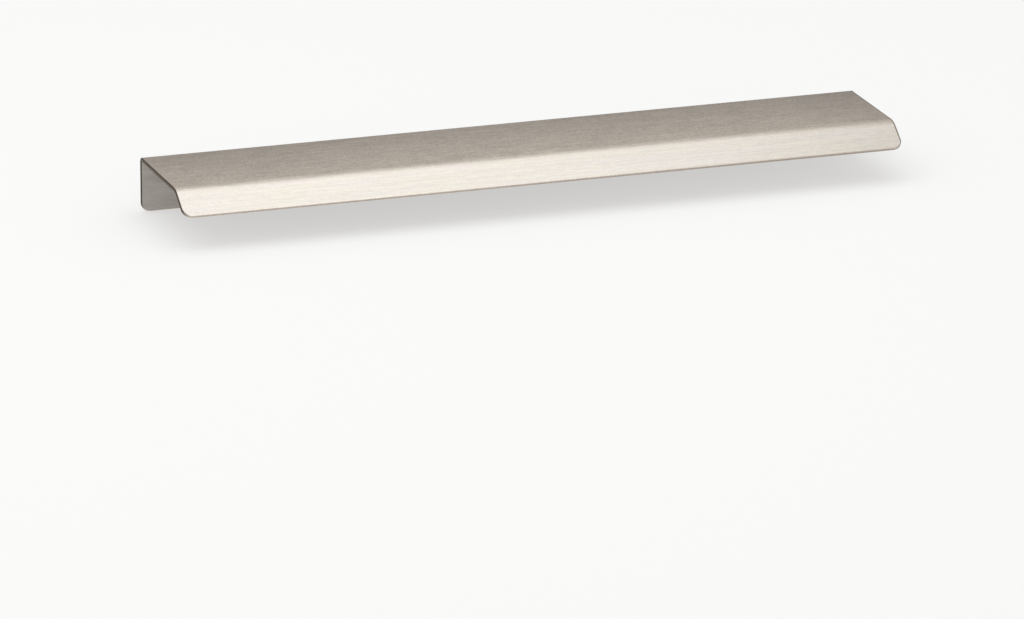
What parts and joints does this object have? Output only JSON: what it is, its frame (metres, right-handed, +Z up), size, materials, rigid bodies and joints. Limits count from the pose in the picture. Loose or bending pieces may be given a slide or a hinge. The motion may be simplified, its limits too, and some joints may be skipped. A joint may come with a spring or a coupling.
{
  "type": "cabinet edge pull",
  "caption": "Edge pull folded from one metal sheet: a screwed flange behind the door, a plate over its top edge and a slanted lip for the fingers.",
  "frame": {"origin": "midway between the two screw holes, on the face of the flange that meets the back of the door", "axes": "+X along the pull, -Y out of the door towards the user, +Z up"},
  "size_m": [0.2, 0.0395, 0.015],
  "materials": {
    "brushed_sheet": "satin, brushed along the length"
  },
  "bodies": {
    "root": {"folded_pull": "brushed_sheet"}
  },
  "joints": []
}
